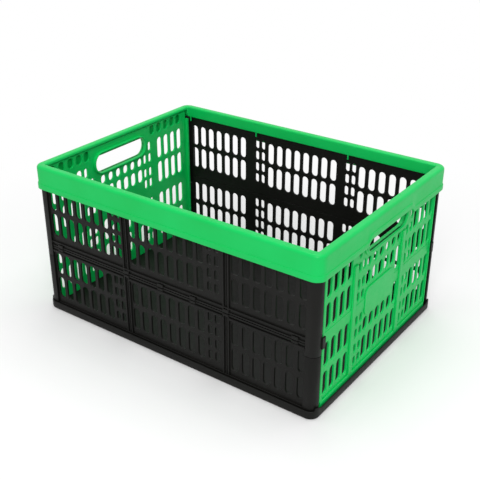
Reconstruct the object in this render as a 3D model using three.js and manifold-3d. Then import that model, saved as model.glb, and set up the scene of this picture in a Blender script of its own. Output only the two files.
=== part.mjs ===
// Collapsible storage crate: eight snap-together mouldings, in millimetres, +Z up, X along the length.
import * as THREE from 'three';
import { mergeVertices } from 'three/addons/utils/BufferGeometryUtils.js';
import Module from 'manifold-3d';

const wasm = await Module();
wasm.setup();

// Driving dimensions.
const LENGTH = 480;
const WIDTH = 348;
const HEIGHT = 234;
const CORNER_RADIUS = 15;
const CORNER_SEGMENTS = 5;
const SHARPEST_CORNER = 2;

// Top rim: a channel open downwards.
const SKIRT_HEIGHT = 35;
const SKIRT_WALL = 2.5;
const BAND_HEIGHT = 9;
const BAND_PROUD = 0.8;
const RIM_WIDTH = 13;
const RIM_TOP = 3.5;
const INNER_BAND_WALL = 2.2;
const INNER_BAND_LONG = 17;
const INNER_BAND_SHORT = 5;
const LUG_WALL = 2.3;
const LUG_THICKNESS = 2;
const SIDE_LUGS = [-221, -85, 85, 221];

// Base tray.
const BASE_INSET = 1.5;
const BASE_LIP = 2.2;
const BASE_HEIGHT = 12;
const FLOOR = 4;

// Walls. The gaps are what each piece keeps to its neighbour.
const WALL_INSET = 4.2;
const WALL_DEPTH = 5.8;
const PLATE = 3;
const SEAT_GAP = 0.4;
const PART_GAP = 0.6;
const SLIDE_GAP = 0.5;
const END_GAP = 3.5;
const POST_WIDTH = 16;
const POST_WRAP = 13;
const POST_WALL = 2.5;
const POST_CORNER = 8;

// Hinge heights of the long sides: the knee is midway, so that both halves are equal links.
const BASE_HINGE_Z = 5;
const RIM_HINGE_Z = 211;
const KNEE_Z = (BASE_HINGE_Z + RIM_HINGE_Z) / 2;
const HINGE_EDGE = 4.5;
const POST_PART_DROP = 16;
const KNEE_RIB = 9;
// How far pieces of one solid reach into each other, and cutters past what they cut.
const OVERLAP = 1;
const RIB_INSET = 0.5;
// Ribs, bars and posts stop this far inside the faces of the plate that they stand on.
const STEP = 0.3;

// End panels.
const END_HINGE_Z = 224;
const END_TOP_EDGE = 3;
const END_SIDE_FLANGE = 3.5;
const END_FLANGE_DEPTH = 8;
const END_FLANGE_STEP = 1.5;
const END_RELIEF = 2.4;
const END_RAISED = 152;
const END_BAND_TOP = 12;
const END_BAR_FOOT = 10;
const END_BAR_DROP = 8;
const END_LUG_DEPTH = 5;
const END_LUG_INSET = 0.5;

// Slots.
const SLOT_WIDTH = 11.5;
const SMALL_SLOT_WIDTH = 7;
const SLOT_PITCH = 16.8;
const SMALL_PITCH = 12;
const BAR_WIDTH = 9;
const LONG_SLOT_ROWS = [[22, 57], [62, 97], [126, 162], [167, 202]];
const SMALL_SLOT_HEIGHT = 15;
const SMALL_SLOT_PITCH = 19.8;
const SMALL_SLOT_FIRST = [25, 130];
const END_SLOT_ROWS = [[22, 57], [65, 101], [120, 157], [164, 200]];
const END_SMALL_BOTTOMS = [22, 41.5, 65, 84.5, 120, 139.5, 164];

// Carrying handle in each end panel.
const HANDLE_LENGTH = 112;
const HANDLE_BOTTOM = 184;
const HANDLE_TOP = 215;
const HANDLE_OFFSET = 6;
const HANDLE_LIP = 5;
const HANDLE_CLEARANCE = 12;
const ARCH_TOP = 207;
const ARCH_SIDE = 4;

// Catch tabs that hold the closed end panels.
const TAB_BOTTOM = 101;
const TAB_TOP = 117;
const TAB_REACH = 6;
const TAB_WALL = 2;

const green = new THREE.MeshStandardMaterial({ color: 0x12b457, roughness: 0.42, metalness: 0 });
const black = new THREE.MeshStandardMaterial({ color: 0x1d1d1b, roughness: 0.5, metalness: 0 });

// Turns a closed three.js geometry into a manifold solid.
function solid(geometry) {
  const bare = geometry.clone();
  bare.deleteAttribute('normal');
  bare.deleteAttribute('uv');
  const merged = mergeVertices(bare, 1e-4);
  const mesh = new wasm.Mesh({
    numProp: 3,
    vertProperties: new Float32Array(merged.attributes.position.array),
    triVerts: new Uint32Array(merged.index.array),
  });
  return new wasm.Manifold(mesh);
}

function geometryOf(body) {
  const mesh = body.getMesh();
  const geometry = new THREE.BufferGeometry();
  const positions = new Float32Array(mesh.vertProperties);
  geometry.setAttribute('position', new THREE.BufferAttribute(positions, 3));
  geometry.setIndex(new THREE.BufferAttribute(new Uint32Array(mesh.triVerts), 1));
  geometry.computeVertexNormals();
  return geometry;
}

// A box between two corners.
function box(x0, x1, y0, y1, z0, z1) {
  const geometry = new THREE.BoxGeometry(x1 - x0, y1 - y0, z1 - z0);
  geometry.translate((x0 + x1) / 2, (y0 + y1) / 2, (z0 + z1) / 2);
  return solid(geometry);
}

// A box at +X, or its mirror image at -X where side is -1.
function mirroredBox(side, x0, x1, y0, y1, z0, z1) {
  return side > 0 ? box(x0, x1, y0, y1, z0, z1) : box(-x1, -x0, y0, y1, z0, z1);
}

function join(parts) {
  return parts.reduce((whole, part) => whole.add(part));
}

// An upright prism with rounded corners, inset from the rim's outer outline.
function slab(inset, z0, z1) {
  const x = LENGTH / 2 - inset;
  const y = WIDTH / 2 - inset;
  const r = Math.max(CORNER_RADIUS - inset, SHARPEST_CORNER);
  const outline = new THREE.Shape();
  outline.absarc(x - r, y - r, r, 0, Math.PI / 2);
  outline.absarc(-x + r, y - r, r, Math.PI / 2, Math.PI);
  outline.absarc(-x + r, -y + r, r, Math.PI, 1.5 * Math.PI);
  outline.absarc(x - r, -y + r, r, 1.5 * Math.PI, 2 * Math.PI);
  const settings = { depth: z1 - z0, bevelEnabled: false, curveSegments: CORNER_SEGMENTS };
  const geometry = new THREE.ExtrudeGeometry(outline, settings);
  geometry.translate(0, 0, z0);
  return solid(geometry);
}

// Evenly pitched column centres.
function columns(first, count, pitch) {
  return Array.from({ length: count }, (_, i) => first + i * pitch);
}

// A rectangular slot in the (u, z) plane of a panel.
function slot(centre, width, z0, z1) {
  return { u0: centre - width / 2, u1: centre + width / 2, z0, z1 };
}

// Boxes that cut slots through a panel lying across Y, or across X where crossX is true.
function slotCutters(slots, v0, v1, crossX) {
  return join(slots.map(({ u0, u1, z0, z1 }) => (
    crossX ? box(v0, v1, u0, u1, z0, z1) : box(u0, u1, v0, v1, z0, z1)
  )));
}

function smallSlots(centres, bottoms) {
  return centres.flatMap((u) => bottoms.map((z) => slot(u, SMALL_SLOT_WIDTH, z, z + SMALL_SLOT_HEIGHT)));
}

// Columns of the front long side from left to right; the back one is the same moulding turned round.
const SIDE_BARS = [-72.5, 99.7];
const SIDE_LONG = [
  ...columns(-211, 7, 17),
  ...columns(-59.2, 8, 16.65),
  ...columns(113, 7, 16.8),
];
const SIDE_SMALL = [-95, -84, 72.5, 84];

// Columns of the right end panel from near to far; the left one is the same moulding turned round.
const END_BARS = [-76, 57];
const END_LONG = [
  ...columns(-139.3, 4, SLOT_PITCH),
  ...columns(-39, 6, SLOT_PITCH),
  ...columns(94, 4, SLOT_PITCH),
];
const END_SMALL = [-64, -64 + SMALL_PITCH, 68.5, 68.5 + SMALL_PITCH];

function rim() {
  const bottom = HEIGHT - SKIRT_HEIGHT;
  const bandTop = bottom + BAND_HEIGHT;
  const shell = slab(BAND_PROUD, bandTop - OVERLAP, HEIGHT).add(slab(0, bottom, bandTop));
  const well = slab(SKIRT_WALL + BAND_PROUD, bottom - OVERLAP, HEIGHT - RIM_TOP);
  const mouth = slab(RIM_WIDTH, bottom - OVERLAP, HEIGHT + OVERLAP);
  const ringTop = HEIGHT - RIM_TOP + OVERLAP;
  const bandRing = slab(RIM_WIDTH - INNER_BAND_WALL, HEIGHT - INNER_BAND_LONG, ringTop);
  const hx = LENGTH / 2;
  const hy = WIDTH / 2;
  const shortBand = HEIGHT - INNER_BAND_SHORT;
  const reach = hy - WALL_INSET - WALL_DEPTH - OVERLAP;
  const clearFrom = hx - RIM_WIDTH - OVERLAP;
  const clearTo = hx - RIM_WIDTH + INNER_BAND_WALL + OVERLAP;
  const clearEnds = [-1, 1].map((side) => (
    mirroredBox(side, clearFrom, clearTo, -reach, reach, bottom, shortBand)
  ));
  const innerBand = bandRing.subtract(join(clearEnds));
  const arches = [-1, 1].map((side) => {
    const centre = side * HANDLE_OFFSET;
    const half = HANDLE_LENGTH / 2 + ARCH_SIDE;
    const from = hx - SKIRT_WALL - 2 * OVERLAP;
    return mirroredBox(side, from, hx + OVERLAP, centre - half, centre + half, bottom - OVERLAP, ARCH_TOP);
  });
  const body = shell.subtract(well).add(innerBand).subtract(mouth).subtract(join(arches));
  return body.add(join(endHingeLugs())).add(join(sideLugs()));
}

// Lugs under the rim's top, one beside each top corner of each end panel.
function endHingeLugs() {
  const y0 = WIDTH / 2 - WALL_INSET - WALL_DEPTH - END_GAP + PART_GAP;
  const x0 = LENGTH / 2 - RIM_WIDTH + END_LUG_INSET;
  const x1 = LENGTH / 2 - WALL_INSET;
  return [-1, 1].flatMap((side) => [y0, -y0 - LUG_WALL].map((y) => (
    mirroredBox(side, x0, x1, y, y + LUG_WALL, END_HINGE_Z - END_LUG_DEPTH, HEIGHT - RIM_TOP + OVERLAP)
  )));
}

// Small lugs that hang below the inner band and keep the upper halves in line.
function sideLugs() {
  const y1 = WIDTH / 2 - WALL_INSET - WALL_DEPTH - PART_GAP;
  const half = LUG_THICKNESS / 2;
  const top = HEIGHT - RIM_TOP + OVERLAP;
  return [-y1, y1 - LUG_WALL].flatMap((y) => SIDE_LUGS.map((x) => (
    box(x - half, x + half, y, y + LUG_WALL, RIM_HINGE_Z - OVERLAP, top)
  )));
}

function base() {
  const tray = slab(BASE_INSET, 0, BASE_HEIGHT);
  return tray.subtract(slab(BASE_INSET + BASE_LIP, FLOOR, BASE_HEIGHT + OVERLAP));
}

// One half of the front long side. Its plate is the inner layer, and posts, bars and ribs stand out from it.
function sideHalf(z0, z1, postBottom, postTop, isUpper) {
  const hx = LENGTH / 2 - WALL_INSET;
  const face = -(WIDTH / 2 - WALL_INSET);
  const back = face + WALL_DEPTH;
  const rows = isUpper ? LONG_SLOT_ROWS.slice(2) : LONG_SLOT_ROWS.slice(0, 2);
  const first = SMALL_SLOT_FIRST[isUpper ? 1 : 0];
  const slots = [
    ...SIDE_LONG.flatMap((x) => rows.map(([a, b]) => slot(x, SLOT_WIDTH, a, b))),
    ...smallSlots(SIDE_SMALL, columns(first, 4, SMALL_SLOT_PITCH)),
  ];
  const ribZ = isUpper ? [z0 + STEP, z0 + KNEE_RIB] : [z1 - KNEE_RIB, z1 - STEP];
  const reach = hx - POST_WIDTH + OVERLAP;
  const barHalf = BAR_WIDTH / 2;
  const field = box(-reach, reach, back - PLATE, back, z0, z1);
  const parts = [
    field.subtract(slotCutters(slots, back - PLATE - OVERLAP, back + OVERLAP, false)),
    box(-reach, reach, face + RIB_INSET, back - OVERLAP, ...ribZ),
    ...SIDE_BARS.map((x) => (
      box(x - barHalf, x + barHalf, face + 2 * RIB_INSET, back - OVERLAP, z0 + 2 * STEP, z1 - 2 * STEP)
    )),
  ];
  const within = slab(WALL_INSET + POST_WALL, -OVERLAP, HEIGHT + OVERLAP);
  const skin = slab(WALL_INSET, 0, HEIGHT).subtract(within);
  [-1, 1].forEach((side) => {
    const corner = mirroredBox(side, hx - POST_WIDTH, hx, face, face + POST_WRAP, postBottom, postTop);
    parts.push(corner.intersect(skin));
    const leg = [face + 2 * RIB_INSET, back - STEP, postBottom + STEP, postTop - STEP];
    parts.push(mirroredBox(side, hx - POST_WIDTH, hx - POST_CORNER, ...leg));
  });
  if (isUpper) return join([...parts, ...catchTabs(hx, face)]);
  const notches = [-1, 1].map((side) => (
    mirroredBox(side, hx - POST_WIDTH - PART_GAP, hx + OVERLAP, face - OVERLAP, back + OVERLAP,
      postTop, z1 + OVERLAP)
  ));
  return join(parts).subtract(join(notches));
}

// Tabs on the upper half's posts, over the edges of the closed end panels.
function catchTabs(hx, face) {
  const tip = face + POST_WRAP + TAB_REACH;
  return [-1, 1].map((side) => (
    mirroredBox(side, hx - OVERLAP, hx + TAB_WALL, face + POST_WRAP - OVERLAP, tip, TAB_BOTTOM, TAB_TOP)
  ));
}

// The right end panel, hung from the rim by its top edge.
function endPanel() {
  const outer = LENGTH / 2 - WALL_INSET - POST_WALL - SLIDE_GAP;
  const half = WIDTH / 2 - WALL_INSET - WALL_DEPTH - END_GAP;
  const z0 = FLOOR + PART_GAP;
  const z1 = END_HINGE_Z + END_TOP_EDGE;
  const handle = [HANDLE_OFFSET - HANDLE_LENGTH / 2, HANDLE_OFFSET + HANDLE_LENGTH / 2];
  const lip = HANDLE_BOTTOM - HANDLE_LIP;
  const beside = (y) => y < handle[0] - HANDLE_CLEARANCE || y > handle[1] + HANDLE_CLEARANCE;
  const clearOfHandle = (y, top) => top < lip || beside(y);
  const slots = [slot(HANDLE_OFFSET, HANDLE_LENGTH, HANDLE_BOTTOM, HANDLE_TOP)];
  END_LONG.forEach((y) => END_SLOT_ROWS.forEach(([a, b]) => {
    if (clearOfHandle(y, b)) slots.push(slot(y, SLOT_WIDTH, a, b));
  }));
  const small = smallSlots(END_SMALL, END_SMALL_BOTTOMS);
  slots.push(...small.filter((cut) => clearOfHandle((cut.u0 + cut.u1) / 2, cut.z1)));
  const edge = half - END_SIDE_FLANGE;
  const field = box(outer - PLATE, outer, -edge, edge, z0, z1);
  const raised = outer + END_RELIEF;
  const parts = [field.subtract(slotCutters(slots, outer - PLATE - OVERLAP, outer + OVERLAP, true))];
  [-half, edge - OVERLAP].forEach((y) => {
    const inner = outer - END_FLANGE_DEPTH;
    parts.push(box(inner, outer - END_FLANGE_STEP, y, y + END_SIDE_FLANGE + OVERLAP, z0, HANDLE_TOP - OVERLAP));
  });
  END_BARS.forEach((y) => {
    const [y0, y1] = [y - BAR_WIDTH / 2, y + BAR_WIDTH / 2];
    parts.push(box(outer - OVERLAP, raised, y0, y1, z0 + END_BAR_FOOT, HANDLE_BOTTOM - END_BAR_DROP));
  });
  const low = [outer - OVERLAP, raised - OVERLAP];
  parts.push(box(...low, -END_RAISED, END_RAISED, z0 + OVERLAP, z0 + END_BAND_TOP));
  parts.push(box(...low, ...handle, lip, HANDLE_BOTTOM));
  return join(parts);
}

function piece(name, body, material, turned) {
  const mesh = new THREE.Mesh(geometryOf(body), material);
  mesh.name = name;
  mesh.rotation.z = turned ? Math.PI : 0;
  return mesh;
}

const lowerHalf = sideHalf(FLOOR + SEAT_GAP, KNEE_Z - PART_GAP / 2, FLOOR + SEAT_GAP + STEP,
  KNEE_Z - POST_PART_DROP - PART_GAP, false);
const upperHalf = sideHalf(KNEE_Z + PART_GAP / 2, RIM_HINGE_Z + HINGE_EDGE, KNEE_Z - POST_PART_DROP,
  RIM_HINGE_Z + HINGE_EDGE - STEP, true);
const end = endPanel();

const crate = new THREE.Group();
crate.add(
  piece('top_rim', rim(), green, false),
  piece('base_tray', base(), black, false),
  piece('front_lower_panel', lowerHalf, black, false),
  piece('front_upper_panel', upperHalf, black, false),
  piece('back_lower_panel', lowerHalf, black, true),
  piece('back_upper_panel', upperHalf, black, true),
  piece('right_end_panel', end, green, false),
  piece('left_end_panel', end, green, true),
);

export default crate;
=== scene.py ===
# %% [markdown]
# # A folding storage crate
# The crate is eight mouldings: a green rim, two green end panels, a black tray and four black half
# panels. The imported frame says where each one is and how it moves. Here each gets its finished shape and
# its plastic. Lengths are written in millimetres and turned into metres in one place.

# %% Load the frame
import math

import bpy
import numpy as np
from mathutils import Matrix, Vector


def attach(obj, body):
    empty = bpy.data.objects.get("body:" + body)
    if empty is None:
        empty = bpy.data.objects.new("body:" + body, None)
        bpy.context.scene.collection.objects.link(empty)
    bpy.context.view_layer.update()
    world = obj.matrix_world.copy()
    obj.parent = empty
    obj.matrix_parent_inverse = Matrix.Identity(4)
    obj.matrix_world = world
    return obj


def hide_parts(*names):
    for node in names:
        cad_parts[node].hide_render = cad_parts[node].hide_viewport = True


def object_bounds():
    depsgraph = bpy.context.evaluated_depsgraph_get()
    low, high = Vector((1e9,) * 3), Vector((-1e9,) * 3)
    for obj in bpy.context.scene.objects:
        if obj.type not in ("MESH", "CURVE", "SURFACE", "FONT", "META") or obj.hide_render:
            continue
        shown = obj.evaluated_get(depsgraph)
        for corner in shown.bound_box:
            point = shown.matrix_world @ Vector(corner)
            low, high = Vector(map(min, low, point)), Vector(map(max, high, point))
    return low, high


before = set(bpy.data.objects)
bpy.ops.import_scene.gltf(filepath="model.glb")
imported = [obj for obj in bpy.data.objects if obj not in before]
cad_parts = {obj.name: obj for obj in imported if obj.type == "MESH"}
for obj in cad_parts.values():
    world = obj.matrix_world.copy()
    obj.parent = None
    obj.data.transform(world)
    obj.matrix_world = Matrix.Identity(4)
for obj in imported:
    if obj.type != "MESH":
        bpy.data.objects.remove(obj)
cad_low, cad_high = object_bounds()
MM = 0.001
HALF_LENGTH = float(cad_high[0]) / MM
HALF_WIDTH = float(cad_high[1]) / MM
HEIGHT = float(cad_high[2]) / MM
print("crate", 2 * HALF_LENGTH, 2 * HALF_WIDTH, HEIGHT, "mm")

# %% [markdown]
# ## Plates with slots
# Most of the crate is thin wall with rows of slots, and every edge is slightly rounded by the mould. A
# flat curve with one closed outline and a closed outline for each slot fills itself, and its extrude and
# bevel values give the thickness and the rounded edges. A boolean cut per slot would leave sharp edges
# and be slower, so curves are used. Each wall is drawn in its own coordinates: u along the wall, z up,
# and depth inwards from the rim's outer face.


# %% Outlines
def stadium(u, z0, z1, width, steps=6):
    """An upright slot with round ends: two half circles of radius width / 2 about the ends of its
    middle line."""
    r = width / 2 * 0.98
    a = np.linspace(0, np.pi, steps + 1)
    top = np.stack([u + r * np.cos(a), z1 - r + r * np.sin(a)], 1)
    low = np.stack([u - r * np.cos(a), z0 + r - r * np.sin(a)], 1)
    return np.concatenate([top, low])


def rounded_rectangle(u0, u1, z0, z1, r, steps=5):
    """A rectangle with a quarter circle of radius r at each corner, anticlockwise from the upper
    right."""
    a = np.linspace(0, np.pi / 2, steps + 1)
    centres = [(u1 - r, z1 - r), (u0 + r, z1 - r), (u0 + r, z0 + r), (u1 - r, z0 + r)]
    arcs = [
        np.stack([cu + r * np.cos(a + k * np.pi / 2), cz + r * np.sin(a + k * np.pi / 2)], 1)
        for k, (cu, cz) in enumerate(centres)
    ]
    return np.concatenate(arcs)


# %% A bag of surfaces that becomes one piece
class Bag:
    """Vertices and faces in millimetres, gathered from several surfaces."""

    def __init__(self):
        self.points = []
        self.faces = []
        self.count = 0

    def add(self, points, faces):
        """Appends one surface; its face indices are moved up by the number of points so far."""
        self.points.append(np.asarray(points, float))
        self.faces.extend([tuple(int(i) + self.count for i in f) for f in faces])
        self.count += len(points)


def plate(bag, outline, holes, near, far, place, bevel=0.5):
    """A plate between depths near and far. The curve's x, y, z are the wall's u, z and minus depth, so
    that it stays right-handed; offset moves the outline in by the bevel, which then brings it back to
    the size drawn."""
    data = bpy.data.curves.new("outline", "CURVE")
    data.dimensions = "2D"
    data.fill_mode = "BOTH"
    thickness = far - near
    bevel = min(bevel, thickness / 2 - 0.05)
    data.extrude = thickness / 2 - bevel
    data.bevel_depth = bevel
    data.bevel_resolution = 1
    data.offset = -bevel
    for ring in [outline, *holes]:
        spline = data.splines.new("POLY")
        spline.points.add(len(ring) - 1)
        flat = np.zeros((len(ring), 4))
        flat[:, :2] = ring
        flat[:, 3] = 1
        spline.points.foreach_set("co", flat.ravel())
        spline.use_cyclic_u = True
    holder = bpy.data.objects.new("outline", data)
    mesh = bpy.data.meshes.new_from_object(holder)
    points = np.empty(len(mesh.vertices) * 3)
    mesh.vertices.foreach_get("co", points)
    points = points.reshape(-1, 3)
    faces = [tuple(p.vertices) for p in mesh.polygons]
    local = np.stack([points[:, 0], (near + far) / 2 - points[:, 2], points[:, 1]], 1)
    bag.add(place(local), faces)
    bpy.data.objects.remove(holder)
    bpy.data.meshes.remove(mesh)
    bpy.data.curves.remove(data)


def block(bag, u0, u1, near, far, z0, z1, place, bevel=0.5, corner=0.6):
    """A rib, bar or tab: a plate with a rounded rectangular outline and no holes."""
    plate(bag, rounded_rectangle(u0, u1, z0, z1, corner, 2), [], near, far, place, bevel)


# %% [markdown]
# ## Walls in place
# The near long side and the far one are one moulding, turned half round about the upright axis, and so
# are the two end panels. So a wall is drawn once, and a place function turns (u, depth, z) into (x, y,
# z).


# %% Place functions
def front(p):
    """u runs along +X and depth along +Y from the near face."""
    return np.stack([p[:, 0], -HALF_WIDTH + p[:, 1], p[:, 2]], 1)


def right(p):
    """u runs along +Y and depth along -X from the right face."""
    return np.stack([HALF_LENGTH - p[:, 1], p[:, 0], p[:, 2]], 1)


def turned(place):
    """The same wall after half a turn about the upright axis: x and y change sign."""
    return lambda p: place(p) * np.array([-1.0, -1.0, 1.0])


def upright(p):
    """For plates drawn in plan: the curve's u and z are x and y, and depth is minus the height."""
    return np.stack([p[:, 0], p[:, 2], -p[:, 1]], 1)


# %% [markdown]
# ## Moulded polypropylene
# Both colours are the same plastic. The mould leaves a fine matt grain, so the gloss breaks up, and the
# wall shows slow changes of tone where the melt cooled. A photographed texture could give this, but it
# would need an unwrapped mesh. Noise over Object coordinates needs none, so it is used at three scales:
# the finest drives the bump, a coarser one the roughness, and the largest shifts the colour a little.


# %% Plastic
def plastic(name, colour, pale, roughness, grain, spec):
    """A principled shader whose colour and roughness are mixed by noise over Object coordinates."""
    material = bpy.data.materials.new(name)
    material.use_nodes = True
    nodes, links = material.node_tree.nodes, material.node_tree.links
    shader = nodes["Principled BSDF"]
    where = nodes.new("ShaderNodeTexCoord")

    def noise(scale, detail):
        node = nodes.new("ShaderNodeTexNoise")
        node.inputs["Scale"].default_value = scale
        node.inputs["Detail"].default_value = detail
        links.new(where.outputs["Object"], node.inputs["Vector"])
        return node

    def spread(node, low, high):
        ramp = nodes.new("ShaderNodeMapRange")
        ramp.inputs["From Min"].default_value = 0.3
        ramp.inputs["From Max"].default_value = 0.7
        ramp.inputs["To Min"].default_value = low
        ramp.inputs["To Max"].default_value = high
        links.new(node.outputs["Fac"], ramp.inputs["Value"])
        return ramp.outputs["Result"]

    cloud, fine, scuff = noise(14, 3), noise(1900, 2), noise(160, 6)
    mix = nodes.new("ShaderNodeMix")
    mix.data_type = "RGBA"
    mix.inputs["A"].default_value = (*colour, 1)
    mix.inputs["B"].default_value = (*pale, 1)
    links.new(spread(cloud, 0.0, 1.0), mix.inputs["Factor"])
    links.new(mix.outputs["Result"], shader.inputs["Base Color"])
    links.new(spread(scuff, roughness - 0.05, roughness + 0.07), shader.inputs["Roughness"])
    bump = nodes.new("ShaderNodeBump")
    bump.inputs["Strength"].default_value = grain
    bump.inputs["Distance"].default_value = 0.00012
    links.new(fine.outputs["Fac"], bump.inputs["Height"])
    links.new(bump.outputs["Normal"], shader.inputs["Normal"])
    shader.inputs["IOR"].default_value = 1.49
    shader.inputs["Specular IOR Level"].default_value = spec
    return material


# The base colours are linear values; the bump is a tenth of a millimetre deep.
GREEN = plastic("green_polypropylene", (0.0015, 0.475, 0.086), (0.003, 0.52, 0.105), 0.36, 0.3, 0.22)
BLACK = plastic("black_polypropylene", (0.0040, 0.0040, 0.0034), (0.0065, 0.0064, 0.0055), 0.46, 0.45, 0.16)


# %% Finish a piece
def finish_piece(bag, name, node, body, material):
    """One mesh object from the bag, in metres, with smooth bevels and flat faces kept flat, riding on
    its body."""
    points = np.concatenate(bag.points) * MM
    mesh = bpy.data.meshes.new(name)
    mesh.from_pydata(points, [], bag.faces)
    mesh.validate()
    piece = bpy.data.objects.new(name, mesh)
    bpy.context.scene.collection.objects.link(piece)
    mesh.materials.append(material)
    mesh.shade_smooth()
    mesh.set_sharp_from_angle(angle=math.radians(28))
    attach(piece, body)
    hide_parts(node)
    print(name, len(mesh.polygons), "faces")
    return piece


# %% [markdown]
# ## The rim
# The rim is a channel that opens downwards: an outer skirt with a prouder band along its foot, a rounded
# top and a shorter inner band. One closed profile carried round a rounded rectangle makes it. Over each
# hand hole the foot of the skirt rises in a shallow arch, and along the ends the inner band is shorter,
# so the profile's heights change with the place along the path.

# %% Sizes of the rim
RIM_CORNER = 15.0
SKIRT_FOOT = HEIGHT - 35.0
BAND_TOP = SKIRT_FOOT + 8.5
HANDLE_MIDDLE = 6.0
HANDLE_HALF = 56.0
ARCH_RISE = 8.0
INNER_FOOT_LONG = HEIGHT - 17.0
INNER_FOOT_SHORT = HEIGHT - 5.0
LUG_DEPTH, LUG_WALL, END_LUG = 10.6, 2.3, 162.25


# %% Path round the crate
def path_round(corner, along_long=24, along_short=72, in_corner=12):
    """Points of a rounded rectangle as (centre of curvature, outward direction, radius). A straight
    stretch has its centre one corner radius inside, so that moving in by d is always centre + (radius -
    d) * direction."""
    cx, cy = HALF_LENGTH - corner, HALF_WIDTH - corner
    centres, angles = [], []
    corners = [(cx, -cy, -90), (cx, cy, 0), (-cx, cy, 90), (-cx, -cy, 180)]
    for k, (x, y, start) in enumerate(corners):
        turn = np.radians(np.linspace(start, start + 90, in_corner + 1))
        centres.append(np.tile([x, y], (in_corner + 1, 1)))
        angles.append(turn)
        nx, ny, _ = corners[(k + 1) % 4]
        count = along_short if k % 2 == 0 else along_long
        t = np.linspace(0, 1, count + 2)[1:-1, None]
        centres.append((1 - t) * np.array([x, y]) + t * np.array([nx, ny]))
        angles.append(np.full(count, np.radians(start + 90)))
    centres = np.concatenate(centres)
    angles = np.concatenate(angles)
    return centres, np.stack([np.cos(angles), np.sin(angles)], 1), angles


def sweep(bag, insets, heights, corner):
    """Carries a closed profile round the path. insets and heights are (places, profile points) arrays,
    and each ring of points joins the next one by quads."""
    centres, outward, _ = path_round(corner)
    n, m = insets.shape
    xy = centres[:, None, :] + (corner - insets)[:, :, None] * outward[:, None, :]
    points = np.concatenate([xy, heights[:, :, None]], 2).reshape(-1, 3)
    i, j = np.meshgrid(np.arange(n), np.arange(m), indexing="ij")
    a = i * m + j
    b = ((i + 1) % n) * m + j
    c = ((i + 1) % n) * m + (j + 1) % m
    d = i * m + (j + 1) % m
    bag.add(points, np.stack([a, b, c, d], -1).reshape(-1, 4))


# %% Profile of the rim
rim_profile = np.concatenate([
    [[3.0, SKIRT_FOOT], [0.6, SKIRT_FOOT], [0.15, SKIRT_FOOT + 0.2], [0.0, SKIRT_FOOT + 0.7]],
    [[0.0, BAND_TOP - 1.1], [0.25, BAND_TOP - 0.3], [0.95, BAND_TOP], [1.1, BAND_TOP + 0.5]],
    [[0.9, HEIGHT - 5.5]],
    np.stack([0.9 + 4.0 - 4.0 * np.cos(np.radians([15, 35, 55, 72, 90])),
              HEIGHT - 4.4 + 4.4 * np.sin(np.radians([15, 35, 55, 72, 90]))], 1),
    [[10.6, HEIGHT]],
    np.stack([10.6 + 2.4 * np.sin(np.radians([25, 50, 70, 90])),
              HEIGHT - 2.4 + 2.4 * np.cos(np.radians([25, 50, 70, 90]))], 1),
    [[13.0, INNER_FOOT_LONG + 0.5], [12.6, INNER_FOOT_LONG]],
    [[11.2, INNER_FOOT_LONG], [10.8, INNER_FOOT_LONG + 0.5]],
    [[10.8, HEIGHT - 4.0], [10.2, HEIGHT - 3.4], [3.9, HEIGHT - 3.4], [3.3, HEIGHT - 4.0]],
    [[3.3, SKIRT_FOOT + 0.4]],
])


# %% Make the rim
def trapezoid(v, half, slope):
    """1 inside half, falling smoothly to 0 over slope outside it."""
    t = np.clip((half + slope - np.abs(v)) / slope, 0, 1)
    return t * t * (3 - 2 * t)


def make_rim():
    """The swept channel, its corner ridges and the lugs under it."""
    bag = Bag()
    centres, outward, angles = path_round(RIM_CORNER)
    insets = np.tile(rim_profile[:, 0], (len(centres), 1))
    heights = np.tile(rim_profile[:, 1], (len(centres), 1))
    on_short = np.abs(outward[:, 0]) > 0.999
    side = np.sign(outward[:, 0])
    arch = np.where(on_short, trapezoid(centres[:, 1] - side * HANDLE_MIDDLE, HANDLE_HALF + 2, 7.0), 0.0)
    foot = heights < BAND_TOP + 1
    heights = heights + foot * arch[:, None] * ARCH_RISE
    inner = (np.abs(heights - INNER_FOOT_LONG) < 1) & (insets > 10)
    lift = np.abs(outward[:, :1]) ** 8 * (INNER_FOOT_SHORT - INNER_FOOT_LONG)
    heights = heights + inner * lift
    in_corner = np.degrees(angles) % 90
    ridge = np.exp(-(((in_corner - 26) / 3.2) ** 2)) + np.exp(-(((in_corner - 64) / 3.2) ** 2))
    insets = insets - (insets < 1.2) * 0.7 * ridge[:, None]
    sweep(bag, insets, heights, RIM_CORNER)
    for wall in (front, turned(front)):
        for u in (-221.0, -85.0, 85.0, 221.0):
            block(bag, u - 1, u + 1, LUG_DEPTH, LUG_DEPTH + LUG_WALL, 209.5, HEIGHT - 4, wall, 0.3)
    for wall in (right, turned(right)):
        for u in (-END_LUG, END_LUG):
            block(bag, u - LUG_WALL / 2, u + LUG_WALL / 2, 4.4, 12.3, 219.0, HEIGHT - 3.6, wall, 0.3)
    return finish_piece(bag, "rim_shell", "top_rim", "rim", GREEN)


make_rim()

# %% [markdown]
# ## The long sides
# Each half is a slotted plate between two corner posts. Seven, eight and seven long columns stand in
# three bays, with two columns of short slots beside the middle bay's bars. The bays are parted by narrow
# grooved bars, and the two halves meet at a knee with a ledge above it and rows of moulded knuckles.

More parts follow.
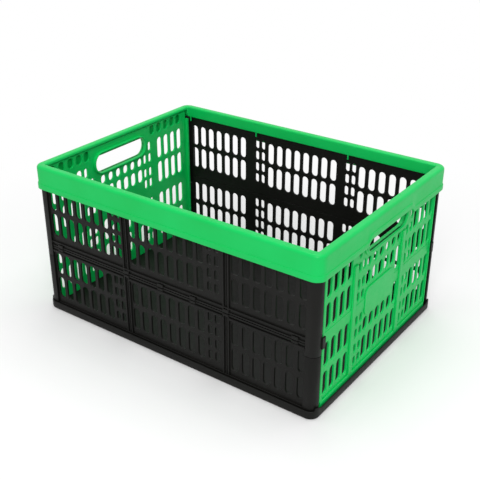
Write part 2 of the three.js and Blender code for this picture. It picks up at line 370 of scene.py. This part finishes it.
# %% Columns and rows of the long sides
SIDE_BARS = (-72.5, 99.7)
SIDE_LONG = np.concatenate([
    -211 + 17 * np.arange(7),
    -59.2 + 16.65 * np.arange(8),
    113 + 16.8 * np.arange(7),
])
SIDE_SMALL = (-95.0, -84.0, 72.5, 84.0)
SIDE_ROWS = {"lower": ((22.0, 57.0), (62.0, 97.0)), "upper": ((126.0, 162.0), (167.0, 202.0))}
SMALL_FIRST = {"lower": 25.0, "upper": 130.0}
KNEE = 108.0
POST_PART = 92.0
print(len(SIDE_LONG) * 4, "long slots and", len(SIDE_SMALL) * 8, "short slots in each long side")
FACE, BACK = 4.2, 10.0
PLATE_FACE, RIB_ROOT = 7.0, 7.6
LONG_SLOT, SHORT_SLOT, SHORT_SLOT_HEIGHT, SHORT_SLOT_PITCH = 11.5, 7.0, 15, 19.8
POST_WALL, POST_LEG, POST_WRAP = 2.5, 219.8, 17.2


# %% One corner post
def post(bag, z0, z1, wall, side):
    """An angle-shaped post in plan: an outer arc of radius 10.8 mm, an inner arc 2.5 mm inside it, a
    leg along the long side and a shorter leg round the end."""
    cx, cy, r = HALF_LENGTH - RIM_CORNER, HALF_WIDTH - RIM_CORNER, RIM_CORNER - FACE
    a = np.radians(np.linspace(0, 90, 9))
    outer = np.stack([cx + r * np.cos(a), cy + r * np.sin(a)], 1)
    inner = np.stack([cx + (r - POST_WALL) * np.cos(a[::-1]), cy + (r - POST_WALL) * np.sin(a[::-1])], 1)
    ring = np.concatenate([
        [[HALF_LENGTH - FACE, HALF_WIDTH - POST_WRAP]], outer,
        [[POST_LEG, HALF_WIDTH - FACE], [POST_LEG, HALF_WIDTH - BACK]],
        [[223.6, HALF_WIDTH - BACK], [223.6, HALF_WIDTH - FACE - POST_WALL]], inner,
        [[HALF_LENGTH - FACE - POST_WALL, HALF_WIDTH - POST_WRAP]],
    ])
    ring = ring * np.array([side, -1.0])
    turn = 1.0 if wall is front else -1.0
    plate(bag, ring * turn, [], -z1, -z0, upright, 0.35)


# %% A half panel
def half_panel(which, wall):
    """The slotted plate, its frame of ribs, the grooved bars, the knee and the posts of one half."""
    bag = Bag()
    low, high = (4.4, KNEE - 0.3) if which == "lower" else (KNEE + 0.3, 215.5)
    slots = [stadium(u, a, b, LONG_SLOT) for u in SIDE_LONG for a, b in SIDE_ROWS[which]]
    first = SMALL_FIRST[which]
    feet = first + SHORT_SLOT_PITCH * np.arange(4)
    slots += [stadium(u, z, z + SHORT_SLOT_HEIGHT, SHORT_SLOT) for u in SIDE_SMALL for z in feet]
    edge = 219.4 if which == "lower" else 220.4
    plate(bag, rounded_rectangle(-edge, edge, low, high, 0.6, 1), slots, PLATE_FACE, BACK, wall)
    for u in SIDE_BARS:
        for offset in (-4.0, 4.0):
            block(bag, u + offset - 1.1, u + offset + 1.1, 4.9, RIB_ROOT, low + 0.5, high - 0.5, wall, 0.5)
        block(bag, u - 0.6, u + 0.6, 6.2, RIB_ROOT, low + 0.5, high - 0.5, wall, 0.3)
    knee(bag, which, wall)
    z0, z1 = (4.7, POST_PART - 0.6) if which == "lower" else (POST_PART, 215.2)
    for side in (-1.0, 1.0):
        post(bag, z0, z1, wall, side)
    if which == "upper":
        catch_tabs(bag, wall)
    return bag


def knee(bag, which, wall):
    """Ribs along the knee, split at the bars, and knuckles that stand out between them."""
    left, right_bar = SIDE_BARS
    if which == "upper":
        block(bag, -219.5, 219.5, 4.6, RIB_ROOT, 115.6, 117.6, wall, 0.5)
        block(bag, -219.5, 219.5, 5.4, RIB_ROOT, 108.5, 111.0, wall, 0.5)
    else:
        stops = [-219.0, left - 5.4, left + 5.4, right_bar - 5.4, right_bar + 5.4, 219.0]
        for u0, u1 in zip(stops[::2], stops[1::2]):
            block(bag, u0, u1, 4.3, RIB_ROOT, 99.5, 103.2, wall, 0.8, 1.2)
        block(bag, -219.0, 219.0, 5.6, RIB_ROOT, 104.6, 107.5, wall, 0.5)
        block(bag, -219.0, 219.0, 5.0, RIB_ROOT, 5.0, 13.5, wall, 0.5)
    for u in (left, right_bar, left - 130, left + 62, left + 118, right_bar + 105):
        z0, z1 = (103.6, 107.4) if which == "lower" else (108.6, 114.0)
        block(bag, u - 5, u + 5, 4.4, RIB_ROOT, z0, z1, wall, 0.8, 1.0)


def catch_tabs(bag, wall):
    """A tab on each post that reaches over the end panel's edge; its foot is cut off at a slant."""
    end = right if wall is front else turned(right)
    for side, place in ((1.0, end), (-1.0, turned(end))):
        u0, u1 = (-HALF_WIDTH + 16.2, -HALF_WIDTH + 23.2)
        ring = np.array([[u0, 101.0], [u1 - 2.2, 101.0], [u1, 103.6], [u1, 117.0], [u0, 117.0]])
        if side < 0:
            ring = (ring * np.array([-1.0, 1.0]))[::-1]
        plate(bag, ring, [], 2.3, 4.9, place, 0.4)


# %% Make the four half panels
for where, wall in (("front", front), ("back", turned(front))):
    for which in ("lower", "upper"):
        made = half_panel(which, wall)
        half = f"{where}_{which}"
        finish_piece(made, f"{half}_side", f"{half}_panel", half, BLACK)

# %% [markdown]
# ## The end panels
# An end panel hangs in the rim from its top edge. It has a hand hole with a deep lip, a blank raised
# label plate, raised bars that part three bays, and four rows of slots. Above them a row of pockets runs
# on either side of the hand hole, behind the rim's skirt.

# %% Columns and rows of the end panels
END_BARS = (-76.0, 57.0)
END_OUTER = np.concatenate([-139.3 + 16.8 * np.arange(4), 94 + 16.8 * np.arange(4)])
END_MIDDLE = -39 + 16.8 * np.arange(6)
END_ROWS = ((22.0, 57.0), (65.0, 101.0), (120.0, 157.0), (164.0, 200.0))
END_POCKETS = (-137.4, -121.4, -105.0, -88.3, -71.3, 77.0, 93.0, 110.0, 128.0, 146.0)
END_SMALL_ROWS = (22.0, 41.5, 65.0, 84.5, 120.0, 139.5, 164.0)
HAND_LOW, HAND_HIGH = 184.0, 215.0
END_FACE, END_BACK, END_ROOT = 7.2, 10.2, 7.8
UNDER_HAND_SLOT = 10.5
LABEL = (-46.0, 35.0, 88.5, 131.5)


# %% Make one end panel
def end_slots():
    """All the slots of an end panel. The label plate shortens the middle rows, and the hand hole the
    top one."""
    rings = [stadium(u, a, b, LONG_SLOT) for u in END_OUTER for a, b in END_ROWS]
    for k, u in enumerate(END_MIDDLE):
        beside = k == 5
        rings += [stadium(u, 22.0, 57.0, LONG_SLOT), stadium(u, 65.0, 101.0 if beside else 86.5, LONG_SLOT)]
        rings += [stadium(u, 120.0 if beside else 135.0, 157.0, LONG_SLOT)]
        rings += [stadium(u, 163.0, 177.0, UNDER_HAND_SLOT)]
    for u in (-64.0, -52.0, 68.5, 80.5):
        rings += [stadium(u, z, z + SHORT_SLOT_HEIGHT, SHORT_SLOT) for z in END_SMALL_ROWS]
    rings += [stadium(u, HAND_LOW, HAND_LOW + SHORT_SLOT_HEIGHT, SHORT_SLOT) for u in (-64.0, 80.5)]
    rings += [rounded_rectangle(u - 5.5, u + 5.5, 209.5, 225.0, 5.0, 4) for u in END_POCKETS]
    return rings


def hand_ring(grow):
    """The outline of the hand hole, grown by a margin: a rectangle with almost round ends."""
    u0, u1 = HANDLE_MIDDLE - HANDLE_HALF - grow, HANDLE_MIDDLE + HANDLE_HALF + grow
    return rounded_rectangle(u0, u1, HAND_LOW - grow, HAND_HIGH + grow, 14.5 + grow, 8)


def end_panel(wall):
    """The slotted plate, its side flanges, frame, bars, label plate and the lip of the hand hole."""
    bag = Bag()
    holes = [*end_slots(), hand_ring(0)]
    plate(bag, rounded_rectangle(-157, 157, 4.6, 227, 1.0, 2), holes, END_FACE, END_BACK, wall)
    for u0, u1 in ((-160.5, -156.6), (156.6, 160.5)):
        block(bag, u0, u1, 8.8, 15.2, 5.0, 213.5, wall, 0.6)
    for u0, u1 in ((-153.2, -147.4), (151.0, 153.4)):
        block(bag, u0, u1, 5.4, 7.8, 16.0, 207.0, wall, 0.8)
    block(bag, -151.5, 151.5, 4.9, 7.8, 5.6, 17.0, wall, 1.0)
    for u in END_BARS:
        top = 180.0 if u < 0 else 176.0
        block(bag, u - 5.2, u + 5.2, 4.8, 7.8, 16.0, top, wall, 1.2)
    block(bag, -147.0, 151.0, 6.6, 7.8, 103.5, 117.5, wall, 0.4)
    plate(bag, rounded_rectangle(*LABEL, 12.0, 7), [], 5.4, END_ROOT, wall, 0.9)
    plate(bag, hand_ring(2.6), [hand_ring(0)], 4.8, 15.0, wall, 0.9)
    plate(bag, hand_ring(6.0), [hand_ring(0.5)], 5.6, END_ROOT, wall, 0.8)
    return bag


for where, wall in (("right", right), ("left", turned(right))):
    end = f"{where}_end"
    finish_piece(end_panel(wall), f"{end}_shell", f"{end}_panel", end, GREEN)

# %% [markdown]
# ## The base
# The base is a shallow tray. Its lip is a profile carried round the crate, raised into a small nub at
# each corner, and its underside is a waffle of shallow recesses that stiffens the floor.

# %% Make the base
base_profile = np.array([
    [3.4, 0.6], [3.0, 0.15], [2.4, 0.4], [1.7, 1.6], [1.5, 3.0], [1.5, 10.6], [1.8, 11.6],
    [2.4, 12.0], [3.1, 11.9], [3.7, 11.2], [3.7, 3.0],
])


def make_base():
    """The lip, the floor plate and the waffle under it."""
    bag = Bag()
    centres, outward, angles = path_round(RIM_CORNER)
    insets = np.tile(base_profile[:, 0], (len(centres), 1))
    heights = np.tile(base_profile[:, 1], (len(centres), 1))
    nub = trapezoid(np.abs(outward[:, 0]) - 0.93, 0.05, 0.05) * (np.abs(centres[:, 1]) > HALF_WIDTH - 15.5)
    heights = heights + (heights > 11) * 4.0 * nub[:, None]
    sweep(bag, insets, heights, RIM_CORNER)
    x, y = HALF_LENGTH - 3.2, HALF_WIDTH - 3.2
    plan = rounded_rectangle(-x, x, -y, y, 11.0, 8)
    plate(bag, plan, [], -4.0, -1.6, upright, 0.3)
    recesses = [
        rounded_rectangle(cx - 24, cx + 24, cy - 23, cy + 23, 3.0, 3)
        for cx in np.linspace(-200, 200, 8)
        for cy in np.linspace(-137, 137, 6)
    ]
    plate(bag, plan, recesses, -1.8, -0.0, upright, 0.3)
    return finish_piece(bag, "base_shell", "base_tray", "base", BLACK)


make_base()

# %% [markdown]
# ## Floor, light and camera
# A pale floor and soft lamps show the two plastics plainly. The floor keeps the shadow close to the crate
# and turns white further out, so that it meets the white background without an edge from any side. One
# large lamp stands off the near corner and one hangs overhead.


# %% A floor that ends in white
FLOOR_REACH, FLOOR_GAP = 6.0, 0.0004


def whiten(material, shader):
    """Mixes white light into the floor for camera, glossy and transmission rays. The share is 0 near
    the crate, where the shadow stays, and rises to 1 with the distance from its middle."""
    nodes, links = material.node_tree.nodes, material.node_tree.links
    where = nodes.new("ShaderNodeTexCoord")
    distance = nodes.new("ShaderNodeVectorMath")
    distance.operation = "LENGTH"
    links.new(where.outputs["Object"], distance.inputs[0])
    share = nodes.new("ShaderNodeMapRange")
    share.interpolation_type = "SMOOTHSTEP"
    share.inputs["From Min"].default_value = 0.25
    share.inputs["From Max"].default_value = 0.75
    links.new(distance.outputs["Value"], share.inputs["Value"])
    gate = nodes.new("ShaderNodeMath")
    gate.operation = "MULTIPLY"
    links.new(share.outputs["Result"], gate.inputs[0])
    links.new(seen(nodes, links), gate.inputs[1])
    glow = nodes.new("ShaderNodeEmission")
    blend = nodes.new("ShaderNodeMixShader")
    links.new(gate.outputs["Value"], blend.inputs["Fac"])
    links.new(shader.outputs["BSDF"], blend.inputs[1])
    links.new(glow.outputs["Emission"], blend.inputs[2])
    links.new(blend.outputs["Shader"], nodes["Material Output"].inputs["Surface"])


def seen(nodes, links):
    """1 for a camera, glossy or transmission ray, else 0."""
    path = nodes.new("ShaderNodeLightPath")
    total = path.outputs["Is Camera Ray"]
    for name in ("Is Glossy Ray", "Is Transmission Ray"):
        add = nodes.new("ShaderNodeMath")
        add.operation = "ADD"
        add.use_clamp = True
        links.new(total, add.inputs[0])
        links.new(path.outputs[name], add.inputs[1])
        total = add.outputs["Value"]
    return total


# %% Stage
def make_stage():
    """A large floor just below the crate, white where the camera sees it through Light Path."""
    mesh = bpy.data.meshes.new("floor")
    s = FLOOR_REACH
    corners = [(x, y, -FLOOR_GAP) for x, y in ((-s, -s), (s, -s), (s, s), (-s, s))]
    mesh.from_pydata(corners, [], [(0, 1, 2, 3)])
    floor = bpy.data.objects.new("floor", mesh)
    bpy.context.scene.collection.objects.link(floor)
    material = bpy.data.materials.new("pale_floor")
    material.use_nodes = True
    shader = material.node_tree.nodes["Principled BSDF"]
    shader.inputs["Base Color"].default_value = (0.86, 0.86, 0.86, 1)
    shader.inputs["Roughness"].default_value = 0.9
    mesh.materials.append(material)
    whiten(material, shader)
    world = bpy.data.worlds.new("studio")
    bpy.context.scene.world = world
    world.use_nodes = True
    nodes, links = world.node_tree.nodes, world.node_tree.links
    background = nodes["Background"]
    background.inputs["Color"].default_value = (1, 1, 1, 1)
    strength = nodes.new("ShaderNodeMapRange")
    strength.inputs["To Min"].default_value = 0.5
    strength.inputs["To Max"].default_value = 1.0
    links.new(seen(nodes, links), strength.inputs["Value"])
    links.new(strength.outputs["Result"], background.inputs["Strength"])


def lamp(name, where, size, power, target=(0, 0, 0.1)):
    """A square area lamp at a place, turned to face the target."""
    data = bpy.data.lights.new(name, "AREA")
    data.size = size
    data.energy = power
    light = bpy.data.objects.new(name, data)
    light.location = where
    aim = np.array(target) - np.array(where)
    yaw, tilt = math.atan2(aim[1], aim[0]), math.atan2(-aim[2], math.hypot(aim[0], aim[1]))
    light.rotation_euler = (math.pi / 2 - tilt, 0, yaw - math.pi / 2)
    bpy.context.scene.collection.objects.link(light)


make_stage()
lamp("key", (1.1, -1.7, 1.7), 1.2, 34)
lamp("top", (0.0, 0.2, 2.0), 1.6, 20)

# %% Camera
CAMERA_AZIMUTH, CAMERA_RISE = math.radians(-54.06), math.radians(26.93)
CAMERA_DISTANCE = 1.246
CAMERA_LENS, CAMERA_SHIFT = 63.0, -0.004


def make_camera():
    """A camera on a sphere about the crate's middle, looking at it."""
    data = bpy.data.cameras.new("camera")
    data.lens = CAMERA_LENS
    data.sensor_width = 36
    data.shift_y = CAMERA_SHIFT
    camera = bpy.data.objects.new("camera", data)
    level = CAMERA_DISTANCE * math.cos(CAMERA_RISE)
    camera.location = (
        level * math.cos(CAMERA_AZIMUTH),
        level * math.sin(CAMERA_AZIMUTH),
        HEIGHT * MM / 2 + CAMERA_DISTANCE * math.sin(CAMERA_RISE),
    )
    camera.rotation_euler = (math.pi / 2 - CAMERA_RISE, 0, CAMERA_AZIMUTH + math.pi / 2)
    bpy.context.scene.collection.objects.link(camera)
    bpy.context.scene.camera = camera


make_camera()
print("lens", CAMERA_LENS, "mm at", CAMERA_DISTANCE, "m")
bpy.context.scene.view_settings.view_transform = "Standard"
